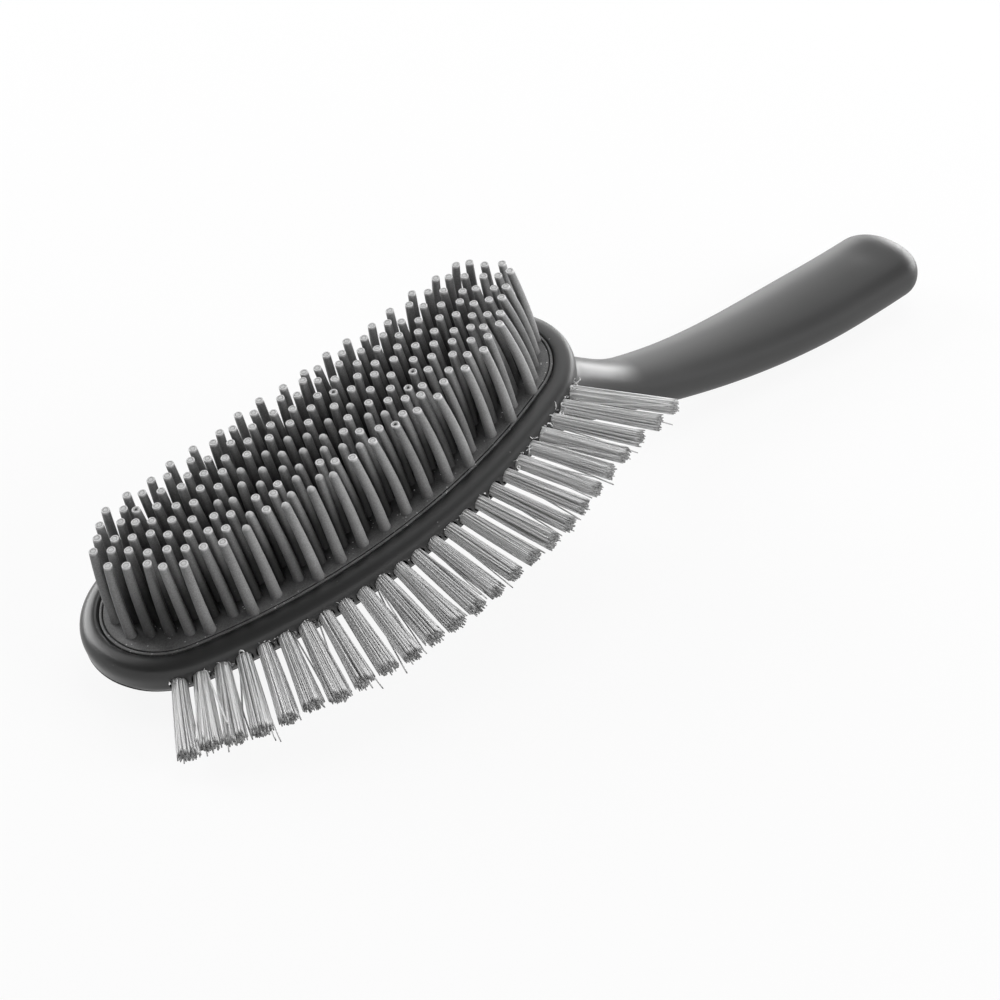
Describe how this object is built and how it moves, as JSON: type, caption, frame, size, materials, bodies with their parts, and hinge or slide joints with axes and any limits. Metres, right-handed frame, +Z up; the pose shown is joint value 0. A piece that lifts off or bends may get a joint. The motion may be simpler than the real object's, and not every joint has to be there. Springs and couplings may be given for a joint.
{
  "type": "upholstery brush",
  "caption": "Hand brush with a D-shaped head, a rubber pad of tapered pins, nylon tufts along its convex edge and a curved handle, for lifting lint and hair from upholstery.",
  "frame": {"origin": "middle of the bounding box in plan, on the surface that the brush lies on", "axes": "+X along the brush from the head's tip to the handle's end, +Y away from the tufted edge, +Z up with the pins uppermost; the brush lies on its back, so the head leans nose-down"},
  "size_m": [0.2432, 0.0632, 0.055],
  "materials": {
    "body_plastic": "satin charcoal injection moulding",
    "pad_rubber": "matt mid-grey rubber",
    "tuft_nylon": "light grey nylon filament",
    "anchor_wire": "bright drawn wire"
  },
  "bodies": {
    "root": {"brush_body": "body_plastic", "pin_pad": "pad_rubber", "tuft_01": "tuft_nylon", "tuft_02": "tuft_nylon", "tuft_03": "tuft_nylon", "tuft_04": "tuft_nylon", "tuft_05": "tuft_nylon", "tuft_06": "tuft_nylon", "tuft_07": "tuft_nylon", "tuft_08": "tuft_nylon", "tuft_09": "tuft_nylon", "tuft_10": "tuft_nylon", "tuft_11": "tuft_nylon", "tuft_12": "tuft_nylon", "tuft_13": "tuft_nylon", "tuft_14": "tuft_nylon", "tuft_15": "tuft_nylon", "tuft_16": "tuft_nylon", "tuft_17": "tuft_nylon", "tuft_18": "tuft_nylon", "tuft_19": "tuft_nylon", "tuft_20": "tuft_nylon", "tuft_21": "tuft_nylon", "tuft_22": "tuft_nylon", "tuft_23": "tuft_nylon", "tuft_24": "tuft_nylon", "tuft_25": "tuft_nylon", "anchor_01": "anchor_wire", "anchor_02": "anchor_wire", "anchor_03": "anchor_wire", "anchor_04": "anchor_wire", "anchor_05": "anchor_wire", "anchor_06": "anchor_wire", "anchor_07": "anchor_wire", "anchor_08": "anchor_wire", "anchor_09": "anchor_wire", "anchor_10": "anchor_wire", "anchor_11": "anchor_wire", "anchor_12": "anchor_wire", "anchor_13": "anchor_wire", "anchor_14": "anchor_wire", "anchor_15": "anchor_wire", "anchor_16": "anchor_wire", "anchor_17": "anchor_wire", "anchor_18": "anchor_wire", "anchor_19": "anchor_wire", "anchor_20": "anchor_wire", "anchor_21": "anchor_wire", "anchor_22": "anchor_wire", "anchor_23": "anchor_wire", "anchor_24": "anchor_wire", "anchor_25": "anchor_wire"}
  },
  "joints": []
}
